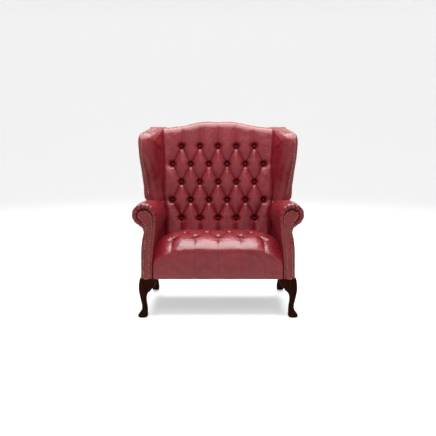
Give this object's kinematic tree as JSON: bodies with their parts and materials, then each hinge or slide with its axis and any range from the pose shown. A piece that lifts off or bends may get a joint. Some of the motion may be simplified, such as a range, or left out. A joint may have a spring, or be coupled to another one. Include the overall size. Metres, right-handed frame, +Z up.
{
  "type": "wing chair",
  "caption": "Wide wing chair with deep-buttoned back and seat, scroll arms, nail-edged arm fronts and wings, on carved cabriole front legs and swept rear legs.",
  "frame": {"origin": "on the floor under the middle of the chair's outer size", "axes": "+Z up, -Y the way the sitter faces, +X the sitter's left"},
  "size_m": [0.9742, 0.8065, 1.0965],
  "materials": {
    "leather": "oxblood leather, semi-gloss, fine grain",
    "foam": "upholstery foam and wadding",
    "beech": "sawn beech, unfinished",
    "mahogany": "dark polished mahogany",
    "nail_brass": "antique brass, dark patina",
    "spring_steel": "plain steel",
    "hessian": "woven jute",
    "dust_cloth": "black cloth",
    "glide_plastic": "dark plastic"
  },
  "bodies": {
    "root": {"seat_cover": "leather", "seat_padding": "foam", "back_cover": "leather", "back_padding": "foam", "front_seat_rail": "beech", "rear_seat_rail": "beech", "crest_rail": "beech", "back_tack_rail": "beech", "seat_corner_blocks": "beech", "frame_dowels": "beech", "seat_springs": "spring_steel", "spring_clips": "spring_steel", "seat_hessian": "hessian", "back_webbing": "hessian", "outside_back": "leather", "dust_cover": "dust_cloth", "back_buttons": "leather", "seat_buttons": "leather", "back_nails": "nail_brass", "knee_blocks": "mahogany", "leg_bolts": "spring_steel", "leg_glides": "glide_plastic", "arm_cover_left": "leather", "arm_cover_right": "leather", "arm_padding_left": "foam", "arm_padding_right": "foam", "outside_arm_left": "leather", "outside_arm_right": "leather", "arm_post_left": "beech", "arm_post_right": "beech", "arm_top_rail_left": "beech", "arm_top_rail_right": "beech", "arm_tack_rail_left": "beech", "arm_tack_rail_right": "beech", "arm_facing_left": "leather", "arm_facing_right": "leather", "arm_facing_nails_left": "nail_brass", "arm_facing_nails_right": "nail_brass", "wing_cover_left": "leather", "wing_cover_right": "leather", "wing_padding_left": "foam", "wing_padding_right": "foam", "outside_wing_left": "leather", "outside_wing_right": "leather", "wing_post_left": "beech", "wing_post_right": "beech", "wing_top_rail_left": "beech", "wing_top_rail_right": "beech", "wing_nails_left": "nail_brass", "wing_nails_right": "nail_brass", "back_post_left": "beech", "back_post_right": "beech", "side_seat_rail_left": "beech", "side_seat_rail_right": "beech", "front_leg_left": "mahogany", "front_leg_right": "mahogany", "rear_leg_left": "mahogany", "rear_leg_right": "mahogany"}
  },
  "joints": []
}
